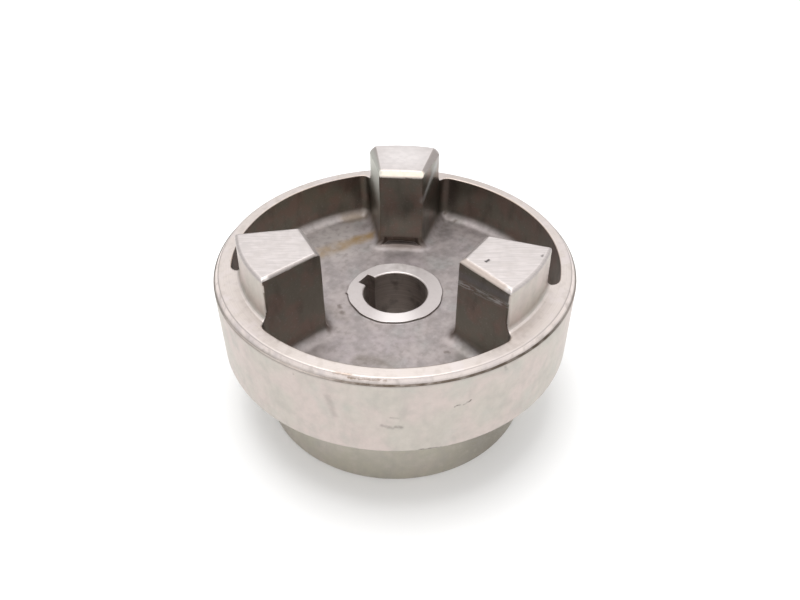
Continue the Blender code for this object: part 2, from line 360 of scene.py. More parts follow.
def surface_net(radii, azimuths, heights):
    """Vertices (x, y, z) and quads of the surface where the solid function is zero.

    Each grid cell that the surface passes through gets one vertex, and each grid edge that it
    crosses gets one quad between the four cells round it. The azimuths close on themselves.
    """
    values = grid_values(radii, azimuths, heights)
    values = np.concatenate([values, values[:, :1]], axis=1)
    azimuths = np.append(azimuths, azimuths[0] + 2 * math.pi)
    inside = values < 0
    lines = (radii, azimuths, heights)
    corners = [(i, j, k) for i in (0, 1) for j in (0, 1) for k in (0, 1)]
    shape = tuple(n - 1 for n in values.shape)

    def corner_view(array, corner):
        return array[tuple(slice(c, c + n) for c, n in zip(corner, shape))]

    filled = sum(corner_view(inside, corner).astype(np.int8) for corner in corners)
    cells = np.argwhere((filled > 0) & (filled < 8))
    total = np.zeros((len(cells), 3))
    crossings = np.zeros((len(cells), 1))
    for first in corners:
        for axis in range(3):
            if first[axis]:
                continue
            a = cells + first
            b = a.copy()
            b[:, axis] += 1
            value_a = values[tuple(a.T)].astype(float)
            value_b = values[tuple(b.T)].astype(float)
            crossed = (value_a < 0) != (value_b < 0)
            share = np.where(crossed, value_a / np.where(crossed, value_a - value_b, 1), 0)
            for other in range(3):
                at_a = lines[other][a[:, other]]
                at_b = lines[other][b[:, other]]
                total[:, other] += crossed * (at_a + (at_b - at_a) * share)
            crossings[:, 0] += crossed
    radius, azimuth, height = (total / crossings).T
    points = np.stack([radius * np.cos(azimuth), radius * np.sin(azimuth), height], axis=1)

    number = np.full(shape, -1)
    number[tuple(cells.T)] = np.arange(len(cells))
    quads = []
    for axis in range(3):
        start = inside[:, :-1] if axis != 1 else inside
        low = np.take(start, range(start.shape[axis] - 1), axis)
        high = np.take(start, range(1, start.shape[axis]), axis)
        edges = np.argwhere(low != high)
        outward = low[tuple(edges.T)]
        second, third = (axis + 1) % 3, (axis + 2) % 3
        around = []
        for back_second, back_third in ((1, 1), (0, 1), (0, 0), (1, 0)):
            cell = edges.copy()
            cell[:, second] -= back_second
            cell[:, third] -= back_third
            cell[:, 1] %= shape[1]
            around.append(number[tuple(cell.T)])
        quad = np.stack(around, axis=1)
        quad[~outward] = quad[~outward][:, ::-1]
        quads.append(quad)
    return points, np.concatenate(quads)


def slope_of(points):
    """The solid function's value and its slope at each point."""
    slopes = []
    for axis in range(3):
        offset = np.zeros(3)
        offset[axis] = SLOPE_REACH
        rise = hub_solid(*(points + offset).T) - hub_solid(*(points - offset).T)
        slopes.append(rise / (2 * SLOPE_REACH))
    return hub_solid(*points.T), np.stack(slopes, axis=1)


def settle(points):
    """Moves the vertices onto the surface, and returns them with the surface's normals."""
    for _ in range(SETTLE_ROUNDS):
        value, slope = slope_of(points)
        squared = np.maximum((slope**2).sum(axis=1), LEAST_SQUARED_SLOPE)
        move = -(value / squared)[:, None] * slope
        length = np.maximum(np.linalg.norm(move, axis=1, keepdims=True), 1e-12)
        points = points + move * np.minimum(1, SETTLE_MOVE / length)
    _, slope = slope_of(points)
    return points, slope / np.linalg.norm(slope, axis=1, keepdims=True)


def hub_grid():
    """Grid lines that are close together where the hub has edges and fillets."""
    around = list(AZIMUTH_FEATURES)
    for jaw, turn in enumerate(JAW_TURN):
        middle = FIRST_JAW_AZIMUTH + JAW_PITCH * jaw + turn
        for flank in (middle - JAW_HALF_ANGLE, middle + JAW_HALF_ANGLE):
            around.append((flank - FLANK_REACH, flank + FLANK_REACH))
    around = [(start + turn, end + turn) for start, end in around for turn in (-360, 0, 360)]
    radii = graded_lines(*GRID_RADII, RADIAL_FEATURES, *LINE_SPACING) * MM
    heights = graded_lines(*GRID_HEIGHTS, UPWARD_FEATURES, *LINE_SPACING) * MM
    azimuths = np.radians(graded_lines(-180, 180, around, *AZIMUTH_SPACING))[:-1]
    return radii, azimuths, heights


def add_object(name, data):
    thing = bpy.data.objects.new(name, data)
    bpy.context.scene.collection.objects.link(thing)
    return thing


def mesh_piece(name, points, faces):
    mesh = bpy.data.meshes.new(name)
    mesh.from_pydata(points, [], faces)
    mesh.update()
    mesh.shade_smooth()
    return add_object(name, mesh)


# ---------------- material nodes


class Nodes:
    """Adds nodes to one node tree."""

    def __init__(self, tree):
        self.tree = tree

    def node(self, kind, settings=None, **values):
        """Adds a node. Each named value is linked to its input socket, or set on it."""
        node = self.tree.nodes.new("ShaderNode" + kind)
        for name, setting in (settings or {}).items():
            setattr(node, name, setting)
        for name, value in values.items():
            self.put(value, node.inputs[name])
        return node

    def put(self, value, socket):
        if isinstance(value, bpy.types.NodeSocket):
            self.tree.links.new(value, socket)
        else:
            socket.default_value = value

    def vector(self, operation, *vectors, **values):
        node = self.node("VectorMath", {"operation": operation}, **values)
        for value, socket in zip(vectors, node.inputs):
            self.put(value, socket)
        return node.outputs["Value" if operation in ("LENGTH", "DISTANCE", "DOT_PRODUCT") else "Vector"]

    def math(self, operation, *values):
        node = self.node("Math", {"operation": operation})
        for value, socket in zip(values, node.inputs):
            self.put(value, socket)
        return node.outputs[0]


class Surface(Nodes):
    """A metal material's nodes. Places and sizes in it are in millimetres, in the piece's frame."""

    def __init__(self, name):
        self.material = bpy.data.materials.new(name)
        self.material.use_nodes = True
        super().__init__(self.material.node_tree)
        self.shader = self.tree.nodes["Principled BSDF"]
        self.shader.inputs["Metallic"].default_value = 1.0
        place = self.node("TexCoord").outputs["Object"]
        self.place = self.vector("SCALE", place, Scale=1 / MM)
        self.z = self.node("SeparateXYZ", Vector=self.place).outputs["Z"]
        self.radius = self.vector("LENGTH", self.vector("MULTIPLY", self.place, (1, 1, 0)))
        self.normal = self.node("NewGeometry").outputs["Normal"]
        self.upward = self.node("SeparateXYZ", Vector=self.normal).outputs["Z"]
        self.ragged = self.warped(size=0.8, reach=0.22)

    def noise(self, size, detail=3.0, place=None, shift=0.0):
        """Noise from 0 to 1 with marks of the given size, one number or one for each axis."""
        sizes = size if isinstance(size, tuple) else (size, size, size)
        scaled = self.vector("MULTIPLY", place or self.place, tuple(1 / part for part in sizes))
        moved = self.vector("ADD", scaled, (shift, 2.3 * shift, 3.1 * shift))
        return self.node("TexNoise", Vector=moved, Scale=1.0, Detail=detail).outputs[0]

    def warped(self, size, reach):
        """The place, pushed about by up to reach, so that marks get ragged edges."""
        scaled = self.vector("SCALE", self.place, Scale=1 / size)
        push = self.node("TexNoise", Vector=scaled, Scale=1.0, Detail=3.0).outputs["Color"]
        push = self.vector("SUBTRACT", push, (0.5, 0.5, 0.5))
        return self.vector("ADD", self.place, self.vector("SCALE", push, Scale=4 * reach))

    def rise(self, value, low, high, least=0.0, most=1.0):
        """A smooth step, from least at low to most at high."""
        node = self.node("MapRange", {"interpolation_type": "SMOOTHSTEP"}, Value=value)
        for number, socket in zip((low, high, least, most), list(node.inputs)[1:5]):
            socket.default_value = number
        return node.outputs[0]

    def both(self, *masks):
        """All the masks, multiplied."""
        product = masks[0]
        for mask in masks[1:]:
            product = self.math("MULTIPLY", product, mask)
        return product

    def spot(self, centre, reach, place=None):
        """1 at a point, falling to 0 at the given reach from it."""
        distance = self.vector("DISTANCE", place or self.ragged, centre)
        return self.rise(distance, reach, 0.1 * reach)

    def streak(self, start, end, reach, place=None):
        """1 along a straight line, falling to 0 at the given reach from it."""
        place = place or self.ragged
        line = Vector(end) - Vector(start)
        gap = self.vector("SUBTRACT", place, start)
        share = self.math("DIVIDE", self.vector("DOT_PRODUCT", gap, line), line.length_squared)
        share = self.node("Clamp", Value=share).outputs[0]
        along = self.vector("SCALE", tuple(line), Scale=share)
        return self.rise(self.vector("DISTANCE", gap, along), reach, 0.1 * reach)

    def scuffs(self, start, end, reach):
        """Fine strokes that run along a straight line on an upright face."""
        line = (Vector(end) - Vector(start)).normalized()
        along = self.vector("DOT_PRODUCT", self.place, tuple(line))
        aside = self.math("SUBTRACT", self.z, self.math("MULTIPLY", along, line.z))
        stroke_place = self.node("CombineXYZ", X=along, Y=aside).outputs[0]
        strokes = self.rise(self.noise((2.6, 0.4, 1), 5, stroke_place, 2), 0.42, 0.66, 0, 0.7)
        return self.both(self.streak(start, end, reach, self.place), strokes)

    def blend(self, color, other, share):
        """One colour, turned into the other by the given share from 0 to 1."""
        node = self.node("Mix", {"data_type": "RGBA"})
        self.put(share, node.inputs[0])
        for value, socket in ((color, node.inputs[6]), (other, node.inputs[7])):
            self.put((*value, 1) if isinstance(value, tuple) else value, socket)
        return node.outputs[2]

    def mark(self, color, other, marks, *masks, place=None):
        """One colour with streaks of the other, each as strong as its mark and the masks say."""
        for start, end, reach, share in marks:
            streak = self.streak(start, end, reach, place)
            color = self.blend(color, other, self.both(streak, *masks, share))
        return color

    def finish(self, color, roughness, height, depth):
        """Links colour, roughness, and relief that is depth metres from lowest to highest."""
        bump = self.node("Bump", Height=height, Distance=depth)
        self.put(color, self.shader.inputs["Base Color"])
        self.put(roughness, self.shader.inputs["Roughness"])
        self.put(bump.outputs["Normal"], self.shader.inputs["Normal"])
        return self.material


# ---------------- materials of the hub

# Marks, in millimetres: each runs from one point to another, with its reach and its strength, a
# share of 1. First those on the wall, the last of which is painted shade, then on the rim and the
# ring, and on the jaws' ends.
WALL_MARKS_AND_SHADE = (
    ((-32.6, -39.4, 39.3), (-31.6, -40.2, 39.6), 0.45, 0.8),
    ((-30.9, -40.9, 39.2), (-29.4, -41.9, 40.1), 0.6, 1.0),
    ((-44.0, -26.2, 34.9), (-42.6, -28.4, 34.2), 0.9, 0.35),
    ((-42.2, -29.0, 34.6), (-41.5, -30.0, 34.3), 0.9, 0.4),
    ((-43.0, -27.8, 37.8), (-41.9, -29.4, 37.7), 0.6, 0.35),
    ((-50.9, -5.3, 46.6), (-50.8, -5.6, 46.4), 0.5, 0.5),
    ((-49.2, -14.1, 42.3), (-48.8, -15.5, 36.4), 1.5, 0.2),
    ((-21.6, -46.4, 47.6), (-21.0, -46.8, 46.0), 0.8, 0.5),
    # The last one is no mark but painted shade along the flange's lower edge at the front.
    ((-38.7, -33.5, 25.6), (-34.8, -37.5, 25.5), 0.5, 0.6),
)
RIM_MARKS = (
    ((-47.1, -14.9, 49.5), (-45.5, -18.5, 49.5), 0.55, 0.5),
    ((-46.0, -18.4, 49.0), (-45.4, -19.9, 49.0), 0.45, 0.7),
    ((-45.2, -20.5, 49.0), (-41.9, -26.3, 49.0), 0.35, 0.6),
    ((-5.0, -14.2, 35.4), (-5.8, -14.0, 35.4), 0.6, 0.8),
    ((-14.4, 5.3, 35.2), (-14.2, -3.0, 35.2), 0.45, 0.6),
    ((-14.0, -4.0, 35.2), (-11.6, -8.6, 35.2), 0.4, 0.4),
)
TOP_MARKS = (
    ((-4.5, -30.5, 61.6), (-3.6, -30.8, 61.6), 0.62, 1.0),
    ((5.3, -41.2, 61.5), (7.4, -41.0, 61.2), 0.5, 0.7),
)

# Painted highlights on the ring, each a point with its reach and strength, and painted light and
# highlights on the chamfers round the jaws' ends, each from one point to another with its reach and
# colour.
RING_HIGHLIGHTS = (((-9.7, -6.7, 35.5), 9, 1.0), ((9.9, 6.8, 35.5), 9.5, 0.6))
CHAMFER_HIGHLIGHTS = (
    # Painted light on three chamfers, then painted highlights at two jaws' outer front corners.
    ((18.6, 18.0, 61.0), (24.9, 7.1, 61.0), 2.0, (0.74, 0.67, 0.58)),
    ((18.6, 18.8, 60.6), (30.0, 30.5, 60.6), 2.2, (0.50, 0.50, 0.46)),
    ((-7.0, -24.6, 61.2), (-11.0, -38.5, 61.2), 2.0, (0.60, 0.52, 0.47)),
    ((-40.3, 11.0, 61.2), (-40.2, 10.8, 60.9), 1.6, (0.88, 0.83, 0.80)),
    ((-10.5, -40.1, 61.2), (-10.7, -40.0, 60.9), 1.3, (0.74, 0.69, 0.66)),
)

# Rust, dark specks and stains in the cup, one painted shadow among the stains, and painted shade up
# its corners: how far these stand from a jaw's middle, from which height to which, and how strong
# they are on either side of the jaw.
RUST_MARKS = (
    ((20.2, 24.0, 34.8), (17.0, 26.0, 34.8), 3.8, 0.95),
    ((17.4, 25.8, 34.8), (11.3, 28.4, 34.8), 3.4, 0.65),
    ((10.5, 28.9, 34.8), (3.6, 31.7, 34.8), 4.6, 0.6),
    ((28.5, 33.0, 35.6), (24.5, 36.8, 35.6), 3.6, 0.4),
)
CUP_MARKS = (
    ((44.9, 9.6, 36.4), (44.5, 9.8, 36.2), 1.0, 0.8),
    ((43.9, 5.1, 35.3), (43.6, 5.3, 35.2), 0.9, 0.7),
    ((-13.8, 10.3, 34.8), (-14.3, 9.6, 34.8), 1.1, 0.65),
    ((-15.6, 8.0, 34.8), (-15.9, 7.4, 34.8), 1.1, 0.55),
    ((-13.2, -25.5, 34.8), (-13.0, -25.9, 34.8), 1.0, 0.55),
)
STAINS_AND_SHADOW = (
    ((-28.6, -8.4, 34.8), (-24.8, -15.9, 34.8), 3.6, 0.55),
    # This one is no stain but a painted shadow on the floor at the back jaw's foot.
    ((22.0, 10.6, 34.8), (20.4, 13.6, 34.8), 3.6, 0.5),
    ((-16.5, 12.5, 34.8), (-17.5, 5.5, 34.8), 3.0, 0.3),
    ((29.0, 33.0, 35.6), (25.0, 36.6, 35.6), 3.6, 0.45),
    ((43.3, 9.0, 35.6), (44.0, 4.0, 35.6), 3.0, 0.3),
    ((-3.0, -27.0, 34.8), (-14.0, -31.0, 34.8), 3.5, 0.35),
)
CORNER_SHADE_ANGLE = 19.8
CORNER_SHADE_R = 44.9
CORNER_SHADE_SPAN = (40.0, 50.0)
CORNER_SHADE_REACH = 4.4
CORNER_SHADE_SHARES = ((-1, 0.95), (1, 0.35))

# On the jaws' sides: painted light on one flank, a dull band with a line of wear under it, and a
# rubbed patch with strokes in it. Each runs from one point to another, with its reach.
LIT_FLANK = ((18.6, 18.8, 59.5), (30.0, 30.5, 59.5), 17.0)
LIT_FLANK_NORMAL = (-0.712, 0.702, 0.0)
WEAR_BAND = ((-7.1, -24.7, 56.8), (-11.8, -41.0, 59.2), 1.9)
WEAR_LINE = ((-7.1, -24.7, 54.1), (-11.8, -41.0, 56.9), 1.5)
RUBBED_EDGE = ((36.5, 9.5, 57.3), (26.5, 6.9, 53.5), 1.3)
RUBBED_PATCH = ((40.2, 10.5, 59.0), (25.5, 6.6, 52.5), 2.4)

# The groove in the jaws' feet is painted dark, as painted shade in the recess. These radii and
# heights say where it starts, is full, begins to fade and ends.
GROOVE_RADII = (19.5, 22.0, 25.4, 26.6)
GROOVE_HEIGHTS = (34.85, 35.9, 38.4, 39.4)

# The corner under the turned rim, as radius and height, and where its painted line of shade is
# weaker: round each point from the first distance to the second, starting at the given strength.
STEP_CORNER = (STEP_R / MM, STEP_Z / MM, 0)
FAINTER_STEP_SHADE = (((-44, 14, 48), 22, 36, 0.35), ((25, -43, 48), 18, 34, 0.4))

# Colours, as the share of red, green and blue light that the metal sends back.
WALL_GREY = (0.53, 0.493, 0.447)
WALL_PINK = (0.578, 0.504, 0.472)
WALL_GREEN = (0.48, 0.475, 0.433)
BOSS_OLIVE = (0.49, 0.465, 0.39)
BOSS_PAINTED_SHADE = (0.31, 0.288, 0.245)
BLOTCH_GREY = (0.42, 0.39, 0.36)
MOTTLE_DARK = (0.42, 0.395, 0.365)
MOTTLE_LIGHT = (0.60, 0.55, 0.51)
GRAIN_LIGHT = (0.60, 0.555, 0.515)
OLD_MARK_AND_SHADE = (0.10, 0.085, 0.075)
STEP_SHADE = (0.40, 0.36, 0.33)
STEP_CREASE_SHADE = (0.09, 0.07, 0.055)
TURNED_METAL = (0.60, 0.54, 0.51)
TURNED_LIGHT = (0.66, 0.60, 0.565)
RIM_BAND_HIGHLIGHT = (0.88, 0.79, 0.75)
RIM_CLOUD = (0.66, 0.60, 0.60)
RIM_EDGE_SHADE = (0.40, 0.36, 0.34)
RIM_MOTTLE = (0.52, 0.465, 0.43)
RIM_INNER_TAN = (0.40, 0.30, 0.235)
RIM_BACK_SHADE = (0.52, 0.46, 0.42)
RING_GREY = (0.54, 0.50, 0.495)
RING_HIGHLIGHT_TONE = (0.80, 0.755, 0.745)
RIM_STAIN = (0.30, 0.20, 0.13)
GROUND_METAL = (0.59, 0.545, 0.53)
GROUND_LIGHT = (0.70, 0.645, 0.635)
GROUND_CLOUD = (0.60, 0.55, 0.53)
BACK_TOP_PAINTED_LIGHT = (0.78, 0.735, 0.725)
CHAMFER_SHADE = (0.40, 0.36, 0.345)
TOP_SPECK = (0.07, 0.06, 0.06)
FLOOR_METAL = (0.34, 0.305, 0.30)
FLOOR_LIGHT = (0.43, 0.383, 0.374)
FLOOR_GREY = (0.36, 0.36, 0.35)
FLOOR_MAUVE = (0.42, 0.37, 0.38)
FLOOR_BACK_PAINTED_LIGHT = (0.52, 0.48, 0.46)
FLOOR_SPECK = (0.27, 0.24, 0.23)
FLOOR_PALE = (0.48, 0.43, 0.42)
SHADED_WALL_OLIVE = (0.215, 0.203, 0.17)
SHADED_WALL_BROWN = (0.25, 0.195, 0.165)
CUP_DARK = (0.125, 0.105, 0.09)
RUST = (0.36, 0.25, 0.13)
CUP_SPECK = (0.14, 0.11, 0.095)
STAIN_AND_SHADOW_TONE = (0.17, 0.145, 0.115)
CORNER_SHADE = (0.12, 0.105, 0.09)
GROOVE_SHADE = (0.16, 0.12, 0.10)
LIT_METAL = (0.64, 0.64, 0.59)
WEAR_BLUE = (0.235, 0.235, 0.25)
WORN_METAL = (0.66, 0.66, 0.66)
CUP_GRAIN = (0.50, 0.47, 0.46)
BORED_METAL = (0.48, 0.43, 0.40)
OIL = (0.2, 0.175, 0.16)
OXIDE_BLACK = (0.075, 0.075, 0.08)
OXIDE_BROWN = (0.13, 0.115, 0.10)
BARE_STEEL = (0.42, 0.40, 0.38)


def corner_painted_shade():
    """A streak of painted shade up each of the cup's corners beside the jaws."""
    streaks = []
    low, high = CORNER_SHADE_SPAN
    for jaw, turn in enumerate(JAW_TURN):
        for side, share in CORNER_SHADE_SHARES:
            azimuth = FIRST_JAW_AZIMUTH + JAW_PITCH * jaw + turn + side * CORNER_SHADE_ANGLE
            x = CORNER_SHADE_R * math.cos(math.radians(azimuth))
            y = CORNER_SHADE_R * math.sin(math.radians(azimuth))
            streaks.append(((x, y, low), (x, y, high), CORNER_SHADE_REACH, share))
    return streaks


def outer_casting():
    """The satin outside of the casting, mottled, with faint upright blotches, old marks and painted
    shade.
    """
    s = Surface("outer_casting")
    color = s.blend(WALL_GREY, WALL_PINK, s.rise(s.noise(11, 4), 0.40, 0.62))
    color = s.blend(color, WALL_GREEN, s.rise(s.noise(8, 4, shift=5), 0.50, 0.75, 0, 0.7))
    boss = s.rise(s.z, 25.4, 24.6)
    color = s.blend(color, BOSS_OLIVE, s.both(boss, s.rise(s.noise(10), 0.3, 0.6, 0.4, 0.9)))
    # A spot of painted shade darkens the boss toward its front right.
    color = s.blend(color, BOSS_PAINTED_SHADE, s.both(boss, s.spot((-8, -40, 10), 24, s.place), 0.8))
    upright = s.noise((3.2, 3.2, 8), 5, shift=2)
    color = s.blend(color, BLOTCH_GREY, s.rise(upright, 0.44, 0.76, 0, 0.45))
    mottled = s.noise(2.6, 5, shift=4)
    color = s.blend(color, MOTTLE_DARK, s.rise(mottled, 0.45, 0.72, 0, 0.32))
    color = s.blend(color, MOTTLE_LIGHT, s.rise(mottled, 0.50, 0.28, 0, 0.3))
    grain = s.noise(0.7, 4)
    color = s.blend(color, GRAIN_LIGHT, s.rise(grain, 0.5, 0.75, 0, 0.35))
    color = shaded_step_crease(s, color)
    color = s.mark(color, OLD_MARK_AND_SHADE, WALL_MARKS_AND_SHADE)
    return s.finish(color, s.rise(grain, 0.2, 0.8, 0.42, 0.56), s.noise(0.9, 4), 0.025 * MM)


def shaded_step_crease(s, color):
    """The colour with a broken line of painted shade along the corner under the turned rim."""
    side = s.vector("DOT_PRODUCT", s.place, (*STEP_HIGH_SIDE, 0))
    lift = s.rise(s.math("DIVIDE", side, s.radius), *STEP_RISE_SPAN, 0, STEP_RISE / MM)
    level = s.math("SUBTRACT", s.z, lift)
    profile = s.node("CombineXYZ", X=s.radius, Y=level).outputs[0]
    beside = s.vector("DISTANCE", profile, STEP_CORNER)
    strength = s.rise(s.noise((3.5, 3.5, 1), 3, shift=7), 0.3, 0.6, 0.7, 1.0)
    for centre, near, far, least in FAINTER_STEP_SHADE:
        fainter = s.rise(s.vector("DISTANCE", s.place, centre), near, far, least, 1.0)
        strength = s.both(strength, fainter)
    # Painted shade near the crease under the rim, on its ledge so that it shows no highlight, and in
    # the crease.
    color = s.blend(color, STEP_SHADE, s.both(s.rise(beside, 0.9, 0.4), 0.4))
    ledge = s.both(s.rise(beside, 0.6, 0.42), s.rise(s.upward, 0.65, 0.8))
    shade_mask = s.math("MAXIMUM", ledge, s.rise(beside, 0.38, 0.25))
    return s.blend(color, STEP_CREASE_SHADE, s.both(shade_mask, strength))


def turned_face():
    """The turned rim and the ring round the bore, with fine circular tool marks, painted highlights and
    painted shade.
    """
    s = Surface("turned_face")
    ring_place = s.node("CombineXYZ", X=s.radius, Y=s.z).outputs[0]
    lines = s.noise((0.22, 0.22, 1), 2, ring_place)
    color = s.blend(TURNED_METAL, TURNED_LIGHT, s.rise(lines, 0.35, 0.65))
    # The rim's upright side band is painted near white, as a painted highlight.
    band = s.both(s.rise(s.upward, 0.75, 0.6), s.rise(s.radius, 48, 49))
    color = s.blend(color, RIM_BAND_HIGHLIGHT, s.both(band, 0.9))
    color = s.blend(color, RIM_CLOUD, s.rise(s.noise(5, 3), 0.45, 0.7, 0, 0.6))
    # The rounded outer edge of the rim is painted darker, as painted shade that dims its highlight.
    edge = s.both(s.rise(s.upward, 0.6, 0.75), s.rise(s.upward, 0.99, 0.95), 0.5)
    color = s.blend(color, RIM_EDGE_SHADE, s.both(edge, s.rise(s.radius, 48, 49)))
    mottled = s.noise(2.2, 5, shift=4)
    color = s.blend(color, RIM_MOTTLE, s.rise(mottled, 0.48, 0.68, 0, 0.5))
    inner_edge = s.both(s.rise(s.radius, 45.2, 45.6), s.rise(s.radius, 47.2, 46.6), 0.7)
    inner_edge = s.both(inner_edge, s.rise(s.upward, 0.99, 0.9))
    color = s.blend(color, RIM_INNER_TAN, inner_edge)
    # The back of the rim is painted darker, as painted shade.
    color = s.blend(color, RIM_BACK_SHADE, s.both(s.spot((47, 6, 49.5), 22, s.place), 0.5))
    ring = s.rise(s.radius, 20, 18)
    color = s.blend(color, RING_GREY, s.both(ring, 0.85))
    # Painted highlights on the ring, at its front and its back.
    for middle, reach, share in RING_HIGHLIGHTS:
        color = s.blend(color, RING_HIGHLIGHT_TONE, s.both(s.spot(middle, reach, s.place), share))
    color = shaded_step_crease(s, color)
    color = s.mark(color, RIM_STAIN, RIM_MARKS)
    rough = s.rise(s.noise(1.5, 3), 0.3, 0.7, 0.42, 0.56)
    rough = s.math("MULTIPLY_ADD", ring, 0.06, rough)
    return s.finish(color, rough, lines, 0.012 * MM)


def ground_top():
    """The jaws' ends, ground flat in one direction across all three, and their rougher chamfers,
    painted with light and shade.
    """
    s = Surface("ground_top")
    turn = math.radians(GRINDING_AZIMUTH)
    along = s.vector("DOT_PRODUCT", s.place, (math.cos(turn), math.sin(turn), 0))
    across = s.vector("DOT_PRODUCT", s.place, (-math.sin(turn), math.cos(turn), 0))
    stroke_place = s.node("CombineXYZ", X=along, Y=across, Z=s.z).outputs[0]
    strokes = s.noise((5, 0.3, 3), 5, stroke_place)
    color = s.blend(GROUND_METAL, GROUND_LIGHT, s.rise(strokes, 0.35, 0.68))
    color = s.blend(color, GROUND_CLOUD, s.rise(s.noise(3, 5), 0.45, 0.7, 0, 0.6))
    chamfer = s.both(s.rise(s.upward, 0.995, 0.92), s.rise(s.radius, 42.4, 41.4, 0.4, 1.0))
    # The back jaw's top is painted lighter, as painted light.
    color = s.blend(color, BACK_TOP_PAINTED_LIGHT, s.both(s.spot((30.5, 17.6, 61.6), 14, s.place), 0.9))
    # The chamfers and their roundings are painted darker, as painted shade that dims their highlights.
    color = s.blend(color, CHAMFER_SHADE, chamfer)
    # Painted light on three chamfers and painted highlights at two outer corners.
    for start, end, reach, light in CHAMFER_HIGHLIGHTS:
        color = s.blend(color, light, s.both(chamfer, s.streak(start, end, reach, s.place)))
    color = s.mark(color, TOP_SPECK, TOP_MARKS)
    rough = s.rise(s.noise(1.2, 3), 0.3, 0.7, 0.38, 0.50)
    rough = s.math("MULTIPLY_ADD", chamfer, 0.15, rough)
    return s.finish(color, rough, strokes, 0.015 * MM)


def cup_casting():
    """The cup's inside and the jaws' sides: dull as cast and stained, with painted light and shade."""
    s = Surface("cup_casting")
    cloud = s.noise(7, 5)
    floor = s.blend(FLOOR_METAL, FLOOR_LIGHT, s.rise(cloud, 0.36, 0.64))
    floor = s.blend(floor, FLOOR_GREY, s.rise(s.noise(9, 4, shift=3), 0.5, 0.75, 0, 0.6))
    floor = s.blend(floor, FLOOR_MAUVE, s.rise(s.noise(12, 3, shift=6), 0.5, 0.7, 0, 0.6))
    # The back of the floor is painted lighter, as painted light.
    floor = s.blend(floor, FLOOR_BACK_PAINTED_LIGHT, s.both(s.spot((12, 33, 35), 18, s.place), 0.6))
    mottled = s.noise(2.0, 5, shift=4)
    floor = s.blend(floor, FLOOR_SPECK, s.rise(mottled, 0.46, 0.70, 0, 0.5))
    floor = s.blend(floor, FLOOR_PALE, s.rise(mottled, 0.48, 0.30, 0, 0.45))
    # The walls, brown as cast, are painted much darker than the floor: painted shade.
    wall = s.blend(SHADED_WALL_OLIVE, SHADED_WALL_BROWN, s.rise(s.noise(6, 4, shift=1), 0.40, 0.64))
    wall = s.blend(wall, CUP_DARK, s.rise(s.noise((4, 4, 9), 4, shift=8), 0.45, 0.8, 0, 0.6))
    level = s.rise(s.upward, 0.15, 0.75)
    color = s.blend(wall, floor, level)
    patchy = s.rise(s.noise(3, 5, shift=9), 0.3, 0.65, 0.35, 1.0)
    color = s.mark(color, RUST, RUST_MARKS, patchy)
    color = s.mark(color, CUP_SPECK, CUP_MARKS)
    # Stains, and a painted shadow at the back jaw's foot.
    color = s.mark(color, STAIN_AND_SHADOW_TONE, STAINS_AND_SHADOW, patchy)
    # Painted shade up the cup's corners.
    color = s.mark(color, CORNER_SHADE, corner_painted_shade(), place=s.place)
    # The groove in the jaws' feet is painted dark, as painted shade in the recess.
    shade_mask = 0.6
    for place, (start, full, fading, end) in ((s.radius, GROOVE_RADII), (s.z, GROOVE_HEIGHTS)):
        shade_mask = s.both(shade_mask, s.rise(place, start, full), s.rise(place, end, fading))
    color = s.blend(color, GROOVE_SHADE, shade_mask)
    # Painted light on one flank of the back jaw.
    facing = s.vector("DOT_PRODUCT", s.normal, LIT_FLANK_NORMAL)
    lit = s.both(s.streak(*LIT_FLANK, s.place), s.rise(facing, 0.8, 0.97))
    color = s.blend(color, LIT_METAL, lit)
    color = s.blend(color, WEAR_BLUE, s.both(s.streak(*WEAR_BAND), 0.5))
    worn = s.math("MAXIMUM", s.scuffs(*WEAR_LINE), s.scuffs(*RUBBED_EDGE))
    worn = s.math("MAXIMUM", worn, s.both(s.streak(*RUBBED_PATCH, s.place), 0.45))
    color = s.blend(color, WORN_METAL, worn)
    grain = s.noise(0.6, 4)
    color = s.blend(color, CUP_GRAIN, s.rise(grain, 0.55, 0.85, 0, 0.3))
    rough = s.math("MULTIPLY_ADD", level, 0.26, s.rise(cloud, 0.3, 0.7, 0.30, 0.38))
    rough = s.math("MULTIPLY_ADD", s.math("MAXIMUM", worn, lit), 0.3, rough)
    return s.finish(color, rough, s.noise(0.8, 5), 0.03 * MM)


def bored_face():
    """The bore, its keyway and the threads: cut by tools, and dull with oil."""
    s = Surface("bored_face")
    lines = s.noise((40, 40, 0.35), 3)
    color = s.blend(BORED_METAL, TURNED_METAL, s.rise(lines, 0.3, 0.7))
    color = s.blend(color, OIL, s.rise(s.noise(5, 4, shift=4), 0.5, 0.75, 0, 0.7))
    return s.finish(color, s.rise(s.noise(1.4, 3), 0.3, 0.7, 0.38, 0.5), lines, 0.012 * MM)


def black_steel():
    """Black oxide steel, rubbed bright on the thread's crests. The piece's +Z is its axis."""
    s = Surface("black_steel")
    uneven_r = s.math("ADD", s.radius, s.rise(s.noise(0.8), 0.3, 0.7, -0.12, 0.12))
    worn = s.rise(uneven_r, 3.78, 3.95)
    color = s.blend(OXIDE_BLACK, OXIDE_BROWN, s.rise(s.noise(1.6, 4), 0.4, 0.7))
    color = s.blend(color, BARE_STEEL, s.both(worn, s.rise(s.noise(2.2, 3), 0.3, 0.6)))
    rough = s.rise(s.noise(0.9, 3), 0.3, 0.7, 0.32, 0.48)
    return s.finish(color, rough, s.noise(0.3, 3), 0.008 * MM)


HUB_MATERIALS = (outer_casting, turned_face, ground_top, cup_casting, bored_face)
OUTER, TURNED, GROUND, CUP, BORED = range(len(HUB_MATERIALS))


